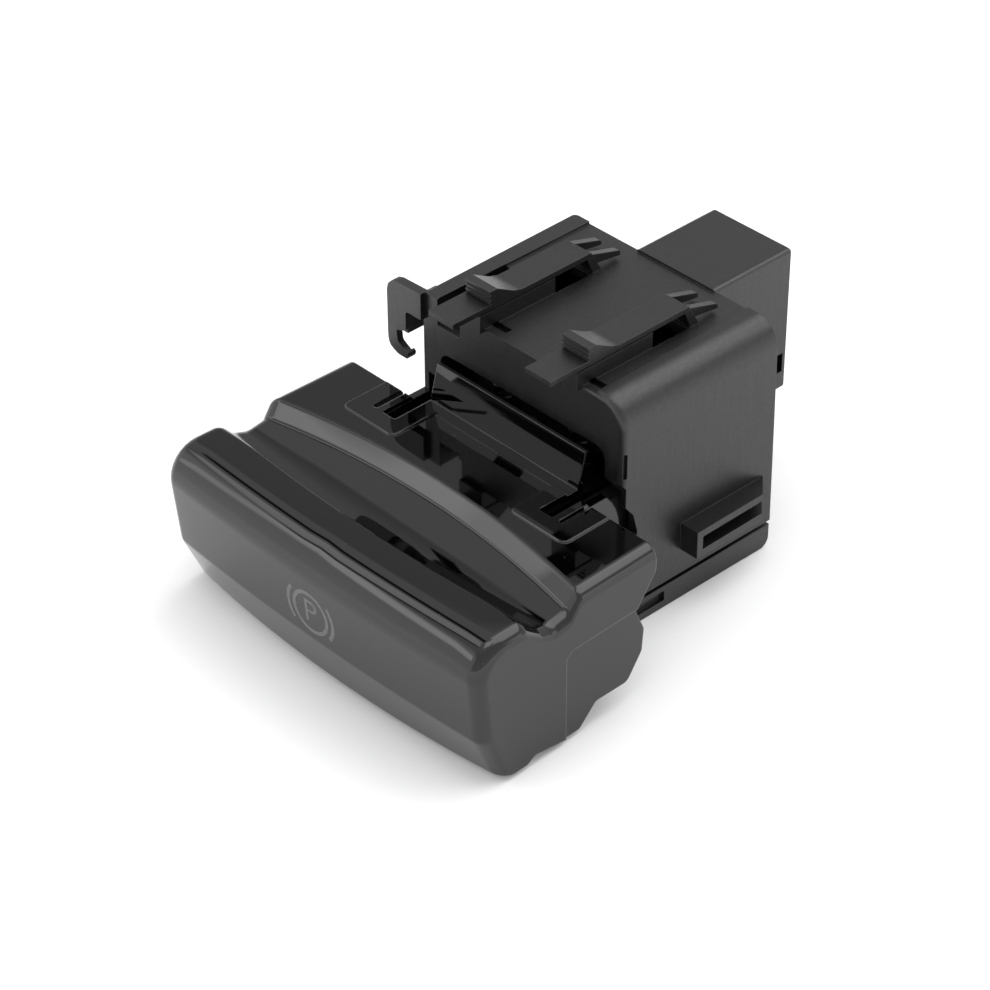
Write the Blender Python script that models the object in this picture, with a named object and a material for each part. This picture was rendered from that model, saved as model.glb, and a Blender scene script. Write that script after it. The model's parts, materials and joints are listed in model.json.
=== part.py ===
# Electric parking brake switch: a gloss paddle that rocks on a matt housing, with its connector.
# Sizes are in millimetres. X runs across the paddle, Y from the paddle to the connector and Z up.
# The origin is the centre of the housing's footprint, on the flat underside of its base cover.
import math

import bmesh
import bpy

MM = 0.001
GAP = 0.3  # Clearance between pieces that seat on each other
OVER = 1.0  # How far a cutter runs past the wall that it cuts
SINK = 0.4  # How deep a joined form starts inside its carrier
ROUND_STEPS = 4  # Facets on a small rounded corner

# Housing
HOUSING_W = 41.8
HOUSING_L = 31.5
HOUSING_H = 40.7
WALL = 2.0
TOP_RIGHT_R = 4.5
TOP_LEFT_R = 0.6
REAR_LEFT_R = 1.5
FRONT_EDGE_R = 1.1  # Rounding of the front edge at the top right and down the right wall
SIDE_DRAFT = 0.4  # How much further out each side wall is at the rear than at the front
REAR_DRAFT = 0.5  # How much further back the rear wall is at the seam than at the top
JAMB_W = 3.6
MOUTH_DROP = 9.0  # From the housing's top to the mouth
TOP_SINK = 0.4  # Depth of the broad field between the top's side strips
TOP_FIELD = (-17.8, 15.2)
NOTCH_DEPTH = 4.6  # In the front wall behind the hook
STRIP_SLOT_W = 0.9
STRIP_SLOT_L = 14.0

# Base cover
BASE_H = 4.0
BASE_SEAM = 0.8
BASE_FLOOR = 2.0
BASE_CORNER_R = 1.8  # Of its lower rear edge
BASE_EDGE = 0.15  # Chamfer round its two sides
SIDE_SLOT_IN = 0.6
SIDE_SLOT_BACK = 3.5
SIDE_SLOT_L = 5.9
SIDE_SLOT_H = 1.8
RIM_H = 3.2
RIM_WALL = 1.4

# Snap latches on the top
LATCH_X = 10.05
LATCH_W = 5.2
LATCH_REACH = 6.35  # From the housing's front to the finger pad's end
LATCH_L = 27.9
LATCH_RISE = 3.35  # Of its upper face over the housing's top
LATCH_THICK = 0.9
WEDGE_BACK = 0.95  # From the housing's front to the wedge
WEDGE_H = 2.25
WEDGE_FLAT = 1.5  # Length of its level top
WEDGE_RUN = 6.4
WEDGE_RIBS = 3  # Grip ribs across the wedge's front face
RIB_IN = 0.25
RAIL_INSET = 0.1  # Of the rail's sides under the latch's
RAIL_AHEAD = 0.95  # Of the housing's front
RAIL_LENGTH = 15.2
SLIT_BACK = 1.5  # From the housing's front to the slit beside the rail
SLIT_W = 1.3
SLIT_PAST = 2.7  # How far it runs past the latch on each side
SLIT_DEPTH = 1.2
PRONG_L = 6.2
PRONG_W = 1.1
PRONG_T = 0.9  # At its free tip
PRONG_RISE = 1.2  # Of its tip over the housing's top

# Connector shroud
SHROUD_X = 0.85
SHROUD_W = 16.2
SHROUD_H = 25.1
SHROUD_RISE = 0.1  # Of its top over the housing's
SHROUD_DEPTH = 16.2
SHROUD_WALL = 1.3
PIN_ROWS = 5
PIN_PITCH = 3.4
PIN_COLUMN_GAP = 3.6
PIN_W = 1.0
PIN_BEND = 6.6  # From the housing's rear to the nearer column's bend
HEADER_DEPTH = 2.6  # Of the terminal block inside the rear wall
PIN_REACH = 8.0  # How far the terminals stand into the shroud

# Side clip and hook
CLIP_OUT = 3.6
CLIP_BACK = 12.45
CLIP_L = 14.0
CLIP_SLANT = 4.3
CLIP_BOTTOM = 9.4
CLIP_H = 4.75
CLIP_WALL = 1.2
HOOK_THICK = 1.6
HOOK_OUT = 7.1
HOOK_BAR_H = 4.6
HOOK_WEB_L = 6.8
HOOK_WEB_H = 4.2
HOOK_FINGER_T = 1.1

# Paddle
PADDLE_W = 67.2
SIDE_TAPER = 0.024  # Share of its width that the paddle loses from its front to its rear edge
PLATE_RISE = 7.4  # Of the plate's top over the pivot
PLATE_T = 1.6
PLATE_CLEAR = 4.95  # From the housing's front to the plate's rear edge
PLATE_L = 11.35
CHEEK_T = 2.3
SKIN_T = 2.2
ROOF_T = 1.6  # Of the groove's floor at its deepest
GROOVE_L = 15.25
GROOVE_DEEP_AT = 9.35
GROOVE_DROP = 3.2
GROOVE_BOW_R = 145.0
LIP_L = 10.3
LIP_RISE = 0.25  # Over the plate
FACE_LEAN = 1.5  # How far the face falls back from its top to its break
FACE_RETURN = 2.45  # And from its break to the bottom edge
BREAK_RISE = 8.3
PADDLE_H = 24.6
FACE_SPREAD = 1.6  # Extra skin in the middle, where the face bows out
TOP_EDGE_R = 2.1
FACE_CORNER_R = 2.2
LIP_ROUND_R = 5.4
PAD_L = 9.3
RELIEF_DEPTH = 0.3
RELIEF_L = 17.9
RELIEF_DROP = 9.1
RIB_X = 22.7
RIB_T = 1.4
PAD_LIFT = 0.3
FLANGE_H = 5.9
FLANGE_LEAN = 3.65

# Pivot of the paddle
PIVOT_FORWARD = 4.1  # From the plate's rear edge
PIVOT_Z = 18.1
PIVOT_R = 1.6
EAR_R = 10.3
EAR_T = 1.4
EAR_INSET = 2.25  # From the housing's side to the middle of the ear's thickness
EAR_SWEEP_GAP = 2.3  # Room round the ear in the housing's walls
EAR_SIDE_GAP = 0.6
INNER_NOTCH_W = 2.65
OUTER_NOTCH_W = 0.9
PAD_IN = 6.35  # From the ear's middle to the pad's inner edge
PAD_OUT = 4.95
LUG_T = 2.6
LUG_R = 4.4

# Carrier inside the mouth
CARRIER_BACK = 7.75  # From the housing's front
CARRIER_T = 1.5
SHELF_T = 1.4
SHELF_MARGIN = 1.5
WINDOW_MARGIN = 2.0
WINDOW_HALF_H = 3.2  # Room for the tail's swing
LOWER_SHELF = 7.9
UPPER_SHELF_DROP = 8.7

# Lever inside the paddle
LUG_CLEAR = 3.05  # From the lever's side to the lug beside it
TAIL_W = 11.0
TAIL_PAST = 2.8  # How far the tail runs past the plungers
TAIL_T = 2.0
TAIL_RISE = 0.9

# Light guide and lamp
GUIDE_W = 12.0
GUIDE_H = 6.0
GUIDE_LOW = 3.1  # Of its middle below the pivot
LAMP_W = 3.2
LAMP_L = 1.9
LAMP_FORWARD = 6.0  # From the pivot to the lamp's rear face

# Board and switches
BOARD_X = -7.5
BOARD_T = 1.6
BOARD_BACK = 9.75
BOARD_LOW = 7.5
BOARD_DROP = 3.3
SWITCH_W = 6.0
SWITCH_L = 6.0
SWITCH_H = 7.2
PLUNGER_BACK = 13.35
PLUNGER_R = 1.2
PLUNGER_L = 6.3
PLUNGER_STANDOFF = 2.5  # From the switch's face to the lever's tail

# Control chip
CHIP_L = 5.0
CHIP_H = 4.4
CHIP_T = 1.6

# Springs
SPRING_INSET = 4.0
SPRING_BACK = 4.8
SPRING_R = 1.9
WIRE_R = 0.35
SPRING_TURNS = 5

# Values that follow from the ones above
FRONT = -HOUSING_L / 2
REAR = HOUSING_L / 2
SIDE = HOUSING_W / 2
SHELL_BOTTOM = BASE_H + BASE_SEAM
HALF = PADDLE_W / 2
MOUTH_HALF = SIDE - JAMB_W
EAR_X = SIDE - EAR_INSET
EAR_IN = EAR_X - EAR_T / 2
EAR_OUT = EAR_X + EAR_T / 2
FLANGE_HALF = EAR_IN - INNER_NOTCH_W + GAP
LEVER_W = 2 * (EAR_IN - GAP - LUG_T - LUG_CLEAR)
SPRING_X = LEVER_W / 2 - SPRING_INSET
FOREMOST = FRONT - OVER
MOUTH_TOP = HOUSING_H - MOUTH_DROP
LATCH_FRONT = FRONT - LATCH_REACH
LATCH_REAR = LATCH_FRONT + LATCH_L
LATCH_TOP = HOUSING_H + LATCH_RISE
WEDGE_FRONT = FRONT + WEDGE_BACK
PRONG_REAR = LATCH_REAR + PRONG_L
SHROUD_TOP = HOUSING_H + SHROUD_RISE
CLIP_FRONT = FRONT + CLIP_BACK
PLATE_REAR = FRONT - PLATE_CLEAR
PIVOT_Y = PLATE_REAR - PIVOT_FORWARD
PLATE_Z = PIVOT_Z + PLATE_RISE
PAD_FRONT = PLATE_REAR - PAD_L
RELIEF_FRONT = PLATE_REAR - RELIEF_L
RELIEF_TOP = PLATE_Z - RELIEF_DROP
GROOVE_REAR = PLATE_REAR - PLATE_L
GROOVE_DEEPEST = GROOVE_REAR - GROOVE_DEEP_AT
LIP_REAR = GROOVE_REAR - GROOVE_L
LIP_TOP = PLATE_Z + LIP_RISE
FACE_TOP = LIP_REAR - LIP_L
FACE_BREAK = FACE_TOP + FACE_LEAN
FACE_BOTTOM = FACE_BREAK + FACE_RETURN
PADDLE_BOTTOM = PLATE_Z - PADDLE_H
BREAK_Z = PADDLE_BOTTOM + BREAK_RISE
HOLLOW_ROOF = PLATE_Z - GROOVE_DROP - ROOF_T
HOLLOW_TOP_Y = FACE_TOP + SKIN_T + FACE_SPREAD
HOLLOW_BREAK_Y = FACE_BREAK + SKIN_T + FACE_SPREAD
CARRIER_Y = FRONT + CARRIER_BACK
UPPER_SHELF = HOUSING_H - UPPER_SHELF_DROP
GUIDE_Z = PIVOT_Z - GUIDE_LOW
LAMP_REAR = PIVOT_Y - LAMP_FORWARD
TAIL_Z = PIVOT_Z + TAIL_RISE
PLUNGER_Y = FRONT + PLUNGER_BACK
TAIL_END = PLUNGER_Y + TAIL_PAST
SPRING_Y = FRONT + SPRING_BACK


def clear_scene():
    for thing in list(bpy.data.objects):
        bpy.data.objects.remove(thing, do_unlink=True)


def finish(name, colour, roughness, metallic=0.0):
    made = bpy.data.materials.new(name)
    made.use_nodes = True
    shader = made.node_tree.nodes["Principled BSDF"]
    shader.inputs["Base Color"].default_value = (*colour, 1.0)
    shader.inputs["Roughness"].default_value = roughness
    shader.inputs["Metallic"].default_value = metallic
    return made


def arc(centre, radius, start, end, steps):
    """Points on a circle, with the angles in degrees."""
    points = []
    for i in range(steps + 1):
        angle = math.radians(start + (end - start) * i / steps)
        points.append((centre[0] + radius * math.cos(angle), centre[1] + radius * math.sin(angle)))
    return points


def rounded(corners, steps=ROUND_STEPS):
    """Turns corners of (u, v, radius) into a closed outline with an arc at each one."""
    outline = []
    for i, (u, v, radius) in enumerate(corners):
        before, after = corners[i - 1], corners[(i + 1) % len(corners)]
        if radius == 0:
            outline.append((u, v))
            continue
        to_last = (before[0] - u, before[1] - v)
        to_next = (after[0] - u, after[1] - v)
        turn = math.atan2(to_next[1], to_next[0]) - math.atan2(to_last[1], to_last[0])
        turn = (turn + math.pi) % (2 * math.pi) - math.pi
        reach = radius / math.tan(abs(turn) / 2)
        start = math.atan2(to_last[1], to_last[0])
        middle = start + turn / 2
        centre_off = radius / math.sin(abs(turn) / 2)
        centre = (u + centre_off * math.cos(middle), v + centre_off * math.sin(middle))
        first = (u + reach * math.cos(start), v + reach * math.sin(start))
        first_angle = math.atan2(first[1] - centre[1], first[0] - centre[0])
        sweep = math.copysign(math.pi - abs(turn), -turn)
        fine = steps * 2 if radius > 3 else steps
        for k in range(fine + 1):
            angle = first_angle + sweep * k / fine
            outline.append((centre[0] + radius * math.cos(angle), centre[1] + radius * math.sin(angle)))
    return outline


def rectangle(low_u, high_u, low_v, high_v, radius=0.0):
    return [(low_u, low_v, radius), (high_u, low_v, radius), (high_u, high_v, radius), (low_u, high_v, radius)]


def place(axis, u, v, along):
    """A point from an outline's (u, v) and its place along the axis."""
    return {"X": (along, u, v), "Y": (u, along, v), "Z": (u, v, along)}[axis]


def prism(axis, outline, low, high, chamfer=0.0):
    """A bmesh of an outline extruded along an axis, with the edges of both ends chamfered."""
    bm = bmesh.new()
    face = bm.faces.new([bm.verts.new(place(axis, u, v, low)) for u, v in outline])
    extruded = bmesh.ops.extrude_face_region(bm, geom=[face])
    moved = [item for item in extruded["geom"] if isinstance(item, bmesh.types.BMVert)]
    bmesh.ops.translate(bm, verts=moved, vec=place(axis, 0, 0, high - low))
    if chamfer:
        ends = [f for f in bm.faces if len(f.verts) == len(outline)]
        edges = {edge for end in ends for edge in end.edges}
        bmesh.ops.bevel(bm, geom=list(edges), offset=chamfer, segments=1, profile=0.5, affect="EDGES")
    return bm


def block(low, high):
    """A bmesh of a box between two corners."""
    return prism("Z", [(low[0], low[1]), (high[0], low[1]), (high[0], high[1]), (low[0], high[1])], low[2], high[2])


def rod(axis, centre, radius, low, high, sides=24):
    """A bmesh of a round bar along an axis, whose centre is in the outline's plane."""
    return prism(axis, arc(centre, radius, 0, 360, sides)[:-1], low, high)


def add(name, bm, look=None):
    """Makes an object in metres from a bmesh in millimetres."""
    bmesh.ops.recalc_face_normals(bm, faces=bm.faces)
    bmesh.ops.scale(bm, vec=(MM, MM, MM), verts=bm.verts)
    mesh = bpy.data.meshes.new(name)
    bm.to_mesh(mesh)
    bm.free()
    made = bpy.data.objects.new(name, mesh)
    bpy.context.scene.collection.objects.link(made)
    if look:
        mesh.materials.append(look)
        mesh.shade_smooth()
        mesh.set_sharp_from_angle(angle=math.radians(32))
    return made


def combine(target, operation, label, bm):
    """Joins a form to an object, or cuts it away, with a Boolean that stays live."""
    helper = add(f"{target.name}_{label}", bm)
    helper.hide_render = True
    helper.display_type = "WIRE"
    step = target.modifiers.new(label, "BOOLEAN")
    step.operation = operation
    step.solver = "EXACT"
    step.object = helper


def join(target, label, bm):
    combine(target, "UNION", label, bm)


def cut(target, label, bm):
    combine(target, "DIFFERENCE", label, bm)


# Housing shell

def housing_outline(inset):
    """The housing's section across X and Z, with its large radius at the top right."""
    right_r = max(TOP_RIGHT_R - inset, 0.6)
    left_r = max(TOP_LEFT_R - inset, 0.6)
    top = HOUSING_H - inset
    wide = SIDE - inset
    bottom = SHELL_BOTTOM - (OVER if inset else 0)
    corners = [(-wide, bottom, 0), (wide, bottom, 0), (wide, top, right_r), (-wide, top, left_r)]
    return rounded(corners, 6)


def add_latch(shell, side, x):
    """A cantilever latch over its rail: finger pad, wedge, root and two tapering prongs."""
    low, high = x - LATCH_W / 2, x + LATCH_W / 2
    under = LATCH_TOP - LATCH_THICK
    ground = HOUSING_H - TOP_SINK - SINK
    profile = [(LATCH_FRONT, under), (LATCH_FRONT, LATCH_TOP)]
    for i in range(WEDGE_RIBS):
        foot = LATCH_TOP + WEDGE_H * i / WEDGE_RIBS
        rise = WEDGE_H / WEDGE_RIBS
        profile += [
            (WEDGE_FRONT + RIB_IN, foot), (WEDGE_FRONT + RIB_IN, foot + 0.35 * rise),
            (WEDGE_FRONT, foot + 0.5 * rise), (WEDGE_FRONT, foot + rise - 0.05),
        ]
    profile += [
        (WEDGE_FRONT, LATCH_TOP + WEDGE_H), (WEDGE_FRONT + WEDGE_FLAT, LATCH_TOP + WEDGE_H),
        (WEDGE_FRONT + 0.75 * WEDGE_RUN, LATCH_TOP + 0.2 * WEDGE_H), (WEDGE_FRONT + WEDGE_RUN, LATCH_TOP),
        (LATCH_REAR, LATCH_TOP), (LATCH_REAR + 2.4, ground),
        (LATCH_REAR + 0.6, ground), (LATCH_REAR - 0.8, under),
    ]
    join(shell, f"latch_{side}", prism("X", profile, low, high))
    tip = HOUSING_H + PRONG_RISE
    prong = [
        (LATCH_REAR - 1, LATCH_TOP - 0.05), (PRONG_REAR - 0.3, tip), (PRONG_REAR, tip - 0.3),
        (PRONG_REAR, tip - PRONG_T), (LATCH_REAR + 0.8, HOUSING_H + 1.1),
    ]
    for label, start in (("outer", low + 0.05), ("inner", high - PRONG_W - 0.05)):
        join(shell, f"latch_{side}_{label}_prong", prism("X", prong, start, start + PRONG_W))
    rail_front = FRONT - RAIL_AHEAD
    rail = block(
        (low + RAIL_INSET, rail_front, ground), (high - RAIL_INSET, rail_front + RAIL_LENGTH, under - GAP)
    )
    join(shell, f"rail_{side}", rail)
    slit = block(
        (low - SLIT_PAST, FRONT + SLIT_BACK, HOUSING_H - SLIT_DEPTH),
        (high + SLIT_PAST, FRONT + SLIT_BACK + SLIT_W, HOUSING_H - TOP_SINK + 0.25),
    )
    cut(shell, f"slit_{side}", slit)
    opening = block(
        (low, rail_front + RAIL_LENGTH + 0.1, HOUSING_H - WALL - OVER), (high, LATCH_REAR - 0.2, HOUSING_H + 0.3)
    )
    cut(shell, f"latch_{side}_opening", opening)


def add_shroud(shell):
    """The tall connector shroud on the rear wall, open at its mouth, with side windows."""
    low_x, high_x = SHROUD_X - SHROUD_W / 2, SHROUD_X + SHROUD_W / 2
    low_z = SHROUD_TOP - SHROUD_H
    outer = rounded(rectangle(low_x, high_x, low_z, SHROUD_TOP, 0.5), 2)
    join(shell, "shroud", prism("Y", outer, REAR - SINK, REAR + SHROUD_DEPTH))
    wall = SHROUD_WALL
    inner = rounded(rectangle(low_x + wall, high_x - wall, low_z + wall, SHROUD_TOP - wall, 0.4), 2)
    cut(shell, "socket", prism("Y", inner, REAR, REAR + SHROUD_DEPTH + OVER))
    window = block(
        (low_x - OVER, REAR + SHROUD_DEPTH - 2.6, low_z + 3.2),
        (high_x + OVER, REAR + SHROUD_DEPTH - 0.6, low_z + 6.6),
    )
    cut(shell, "latch_window", window)
    half_x, half_z = header_half_size()
    middle = SHROUD_TOP - SHROUD_H / 2
    port = block(
        (SHROUD_X - half_x - GAP, REAR - WALL - OVER, middle - half_z - GAP),
        (SHROUD_X + half_x + GAP, REAR + OVER, middle + half_z + GAP),
    )
    cut(shell, "header_port", port)


def add_clip(shell):
    """The side clip on the right wall: two slabs and an end wall, open at its slanted rear."""
    top = CLIP_BOTTOM + CLIP_H
    wall_x, out_x = SIDE - SINK, SIDE + CLIP_OUT
    plan = [
        (wall_x, CLIP_FRONT), (out_x, CLIP_FRONT), (out_x, CLIP_FRONT + CLIP_L),
        (wall_x, CLIP_FRONT + CLIP_L + CLIP_SLANT),
    ]
    join(shell, "clip", prism("Z", plan, CLIP_BOTTOM, top))
    back = SIDE + 2 * SINK
    past = CLIP_FRONT + CLIP_L + CLIP_SLANT + OVER
    slot = block((back, CLIP_FRONT + CLIP_WALL, CLIP_BOTTOM + CLIP_WALL), (out_x + OVER, past, top - CLIP_WALL))
    cut(shell, "clip_slot", slot)


def add_hook(shell):
    """The hook plate at the front left: a bar to the wall, a leg and a curved finger."""
    wall_x = -SIDE + SINK
    out_x = -SIDE - HOOK_OUT
    top = HOUSING_H
    plate = rounded([
        (wall_x, top, 0), (out_x, top - 0.3, 2.2), (out_x, top - 9.7, 0), (out_x + 0.1, top - 12.3, 1.8),
        (out_x + 2.3, top - 13.1, 0), (out_x + 4.3, top - 13.1, 0.3), (out_x + 4.5, top - 12.2, 0.3),
        (out_x + 2.2, top - 10.9, 0.8), (out_x + 2.0, top - 8.9, 0), (out_x + 4.1, top - 8.1, 0.4),
        (out_x + 4.1, top - HOOK_BAR_H, 0.6), (wall_x, top - HOOK_BAR_H, 0),
    ], 3)
    join(shell, "hook", prism("Y", plate, FRONT - 0.9, FRONT - 0.9 + HOOK_THICK))
    web_x, web_rear, web_low = out_x + 2.4, FRONT + HOOK_WEB_L, top - HOOK_BAR_H - HOOK_WEB_H
    web = block((web_x, FRONT - 0.4, web_low), (web_x + HOOK_THICK, web_rear, top - HOOK_BAR_H + SINK))
    join(shell, "hook_web", web)
    tie = block(
        (web_x + 0.1, web_rear - HOOK_THICK, web_low + 0.1), (wall_x, web_rear - 0.1, top - HOOK_BAR_H + SINK - 0.1)
    )
    join(shell, "hook_tie", tie)
    behind_finger = block(
        (out_x - OVER, FRONT - 0.9 + HOOK_FINGER_T, top - 14), (web_x + HOOK_THICK, FRONT + OVER, web_low - 0.2)
    )
    cut(shell, "hook_finger_back", behind_finger)


def spread(bm):
    """Spreads a form towards the rear and the bottom by the housing's draft."""
    for vert in bm.verts:
        share = (vert.co.y - FRONT) / HOUSING_L
        low = min((HOUSING_H - vert.co.z) / (HOUSING_H - SHELL_BOTTOM), 1.0)
        vert.co.x += math.copysign(SIDE_DRAFT * share, vert.co.x)
        vert.co.y += REAR_DRAFT * low * max(share, 0.0)


def shell_body():
    """The solid block of the shell, with its front edge rounded on the right and its rear spread."""
    bm = prism("Y", housing_outline(0), FRONT, REAR)
    ends = [edge for edge in bm.edges if abs(edge.verts[0].co.y - edge.verts[1].co.y) < 0.01]
    right = [
        edge for edge in ends
        if edge.verts[0].co.y < 0 and min(vert.co.x for vert in edge.verts) > SIDE - TOP_RIGHT_R - 0.1
    ]
    bmesh.ops.bevel(bm, geom=right, offset=FRONT_EDGE_R, segments=6, profile=0.5, affect="EDGES")
    spread(bm)
    return bm


def round_rear_left(shell):
    """Rounds the shell's upright edge at the rear left, following its draft."""
    past = 0.03
    centre = (-SIDE + REAR_LEFT_R - past, REAR - REAR_LEFT_R + past)
    corner = arc(centre, REAR_LEFT_R, 90, 180, 7)
    corner += [(-SIDE - OVER, centre[1]), (-SIDE - OVER, REAR + OVER), (centre[0], REAR + OVER)]
    bm = prism("Z", corner, SHELL_BOTTOM - OVER, HOUSING_H + OVER)
    spread(bm)
    cut(shell, "rear_left_corner", bm)


def add_wall_cuts(shell):
    """The room for the paddle's ears: wide inside the jambs, and a shallow one in the right wall's edge."""
    inside = EAR_OUT + EAR_SIDE_GAP
    sweep = rod("X", (PIVOT_Y, PIVOT_Z), EAR_R + EAR_SWEEP_GAP, -inside, inside, 48)
    cut(shell, "ear_sweep", sweep)
    edge = [
        (FOREMOST, PIVOT_Z + 8.8), (FRONT + 0.1, PIVOT_Z + 8.8), (FRONT + 0.85, PIVOT_Z + 8.0),
        (FRONT + 0.85, PIVOT_Z + 4.7), (FRONT + 2.4, PIVOT_Z + 2.7), (FRONT + 3.3, PIVOT_Z - 0.5),
        (FRONT + 2.9, PIVOT_Z - 5.1), (FRONT + 0.1, PIVOT_Z - 8.7), (FOREMOST, PIVOT_Z - 8.7),
    ]
    cut(shell, "right_edge", prism("X", edge, inside - OVER, SIDE + OVER))
    slot = block((SIDE - 0.6, FRONT + 0.4, PIVOT_Z + 9.8), (SIDE + OVER, FRONT + 0.95, PIVOT_Z + 14.1))
    cut(shell, "edge_slot", slot)


def build_housing(look):
    shell = add("housing_shell", shell_body(), look)
    cut(shell, "cavity", prism("Y", housing_outline(WALL), FRONT + WALL, REAR - WALL))
    field = block(
        (TOP_FIELD[0], FRONT - OVER, HOUSING_H - TOP_SINK), (TOP_FIELD[1], REAR + OVER, HOUSING_H + OVER)
    )
    cut(shell, "top_field", field)
    notch = block(
        (TOP_FIELD[0], FOREMOST, HOUSING_H - NOTCH_DEPTH),
        (-LATCH_X - LATCH_W / 2 - GAP, FRONT + WALL + OVER, HOUSING_H + OVER),
    )
    cut(shell, "notch_behind_hook", notch)
    slot = block(
        (TOP_FIELD[0] - 0.1, FRONT + SINK, HOUSING_H - WALL - OVER),
        (TOP_FIELD[0] + STRIP_SLOT_W, FRONT + STRIP_SLOT_L, HOUSING_H + OVER),
    )
    cut(shell, "slot_beside_strip", slot)
    mouth = rounded([
        (-MOUTH_HALF, SHELL_BOTTOM - OVER, 0), (MOUTH_HALF, SHELL_BOTTOM - OVER, 0),
        (MOUTH_HALF, MOUTH_TOP, 2.0), (-MOUTH_HALF, MOUTH_TOP, 2.0),
    ])
    cut(shell, "mouth", prism("Y", mouth, FRONT - OVER, FRONT + WALL + OVER))
    add_wall_cuts(shell)
    round_rear_left(shell)
    add_latch(shell, "left", -LATCH_X)
    add_latch(shell, "right", LATCH_X)
    add_shroud(shell)
    add_clip(shell)
    add_hook(shell)
    return shell


def build_base(look):
    """The base cover: a shallow tray with an upstand that centres it in the shell."""
    side_view = rounded([(FRONT, 0, 0), (REAR, 0, BASE_CORNER_R), (REAR, BASE_H, 0), (FRONT, BASE_H, 0)], 6)
    body = prism("X", side_view, -SIDE, SIDE, BASE_EDGE)
    spread(body)
    base = add("base_cover", body, look)
    inner_x, inner_y = SIDE - WALL - GAP, REAR - WALL - GAP
    rim = rounded(rectangle(-inner_x, inner_x, FRONT + WALL + GAP, inner_y, 0.8), 3)
    join(base, "upstand", prism("Z", rim, BASE_H - SINK, BASE_H + RIM_H))
    room_x, room_y = inner_x - RIM_WALL, inner_y - RIM_WALL
    room = rounded(rectangle(-room_x, room_x, -room_y, room_y, 0.6), 3)
    cut(base, "tray", prism("Z", room, BASE_FLOOR, BASE_H + RIM_H + OVER))
    for label, side in (("right", 1), ("left", -1)):
        edges = sorted((side * (SIDE - SIDE_SLOT_IN), side * (SIDE + OVER)))
        slot_low, slot_front = BASE_H / 2 - SIDE_SLOT_H / 2 + 0.3, FRONT + SIDE_SLOT_BACK
        slot = block((edges[0], slot_front, slot_low), (edges[1], slot_front + SIDE_SLOT_L, slot_low + SIDE_SLOT_H))
        cut(base, f"side_slot_{label}", slot)
    front_gate = block(
        (-MOUTH_HALF, FOREMOST, BASE_H + 0.1), (MOUTH_HALF, FRONT + 5.5, BASE_H + RIM_H + OVER)
    )
    cut(base, "front_gate", front_gate)
    return base


# Paddle

def groove_bow(x):
    return GROOVE_BOW_R - math.sqrt(GROOVE_BOW_R**2 - x**2)


def corner_pull(x, radius):
    """How far a rounded corner of the plan or of the top edge falls back at this place across."""
    past = abs(x) - (HALF - radius)
    return radius - math.sqrt(max(radius**2 - past**2, 0.0)) if past > 0 else 0.0


def paddle_section(x):
    """The paddle's outline in Y and Z at one place across, from the plate's rear edge round the front."""
    bow = groove_bow(x)
    pull = corner_pull(x, FACE_CORNER_R)
    drop = corner_pull(x, TOP_EDGE_R)
    plate, lip, floor = PLATE_Z - drop, LIP_TOP - drop, PLATE_Z - GROOVE_DROP - drop
    out = (x / HALF)**2
    flare = out**5
    lip_rear = LIP_REAR + 1.9 * out - 1.5 * flare
    top_y = FACE_TOP + pull + x**2 / 1090
    break_y = FACE_BREAK + pull + x**2 / 900
    bottom_y = FACE_BOTTOM + 0.6 * pull + x**2 / 430
    return rounded([
        (PLATE_REAR, plate, 0.4),
        (GROOVE_REAR - bow, plate, 0.9),
        (GROOVE_REAR - bow - 2.6 + 0.8 * out, floor + 1.1 - 0.6 * out, 1.6 - 0.4 * out),
        (GROOVE_DEEPEST + 0.4 * out, floor, 13.0 - 9.5 * out),
        (lip_rear + 0.7 + 3.0 * flare, floor + 1.0 - 0.1 * flare, 1.6 + 1.3 * flare),
        (lip_rear, lip, 0.7 + 2.2 * flare),
        (top_y, lip, LIP_ROUND_R - 0.6 * pull),
        (break_y, BREAK_Z, 3.0),
        (bottom_y, PADDLE_BOTTOM, 1.2),
        (FACE_BOTTOM + 7.3, PADDLE_BOTTOM, 0.5),
        (FACE_BOTTOM + 8.9, PADDLE_BOTTOM + 0.9, 0.8),
        (FACE_BOTTOM + 14.5, PADDLE_BOTTOM, 0.4),
        (PLATE_REAR - 14.9, PADDLE_BOTTOM, 0.8),
        (PLATE_REAR - 11.6, PADDLE_BOTTOM + 3.2, 0.8),
        (PLATE_REAR - 5.2, PADDLE_BOTTOM + 3.0, 1.5),
        (PLATE_REAR - 2.3, PADDLE_BOTTOM + 7.1, 1.5),
        (PLATE_REAR - 2.0, PIVOT_Z - 6.2, 1.0),
        (PLATE_REAR - 3.9, PIVOT_Z - 1.9, 1.2),
        (PLATE_REAR - 0.1, PIVOT_Z + 3.2, 1.2),
    ])


def side_taper(y):
    """How wide the paddle is at this place along, as a share of its width at the front."""
    return 1 - SIDE_TAPER * (y - FACE_TOP) / (PLATE_REAR - FACE_TOP)


def paddle_stations():
    """Places across the paddle, closer together where its corners turn."""
    inner = HALF - FACE_CORNER_R
    middle = [inner * i / 9 for i in range(-9, 10)]
    turn = [inner + FACE_CORNER_R * math.sin(math.radians(90 * i / 6)) for i in range(1, 7)]
    return [-x for x in reversed(turn)] + middle + turn


def ring_loft(rings):
    """A closed bmesh skinned over rings of the same number of points, with capped ends."""
    bm = bmesh.new()
    loops = [[bm.verts.new(point) for point in ring] for ring in rings]
    for first, second in zip(loops, loops[1:]):
        for i in range(len(first)):
            bm.faces.new((first[i - 1], first[i], second[i], second[i - 1]))
    bm.faces.new(loops[0])
    bm.faces.new(loops[-1])
    bmesh.ops.recalc_face_normals(bm, faces=bm.faces)
    bmesh.ops.triangulate(bm, faces=bm.faces)
    return bm


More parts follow.
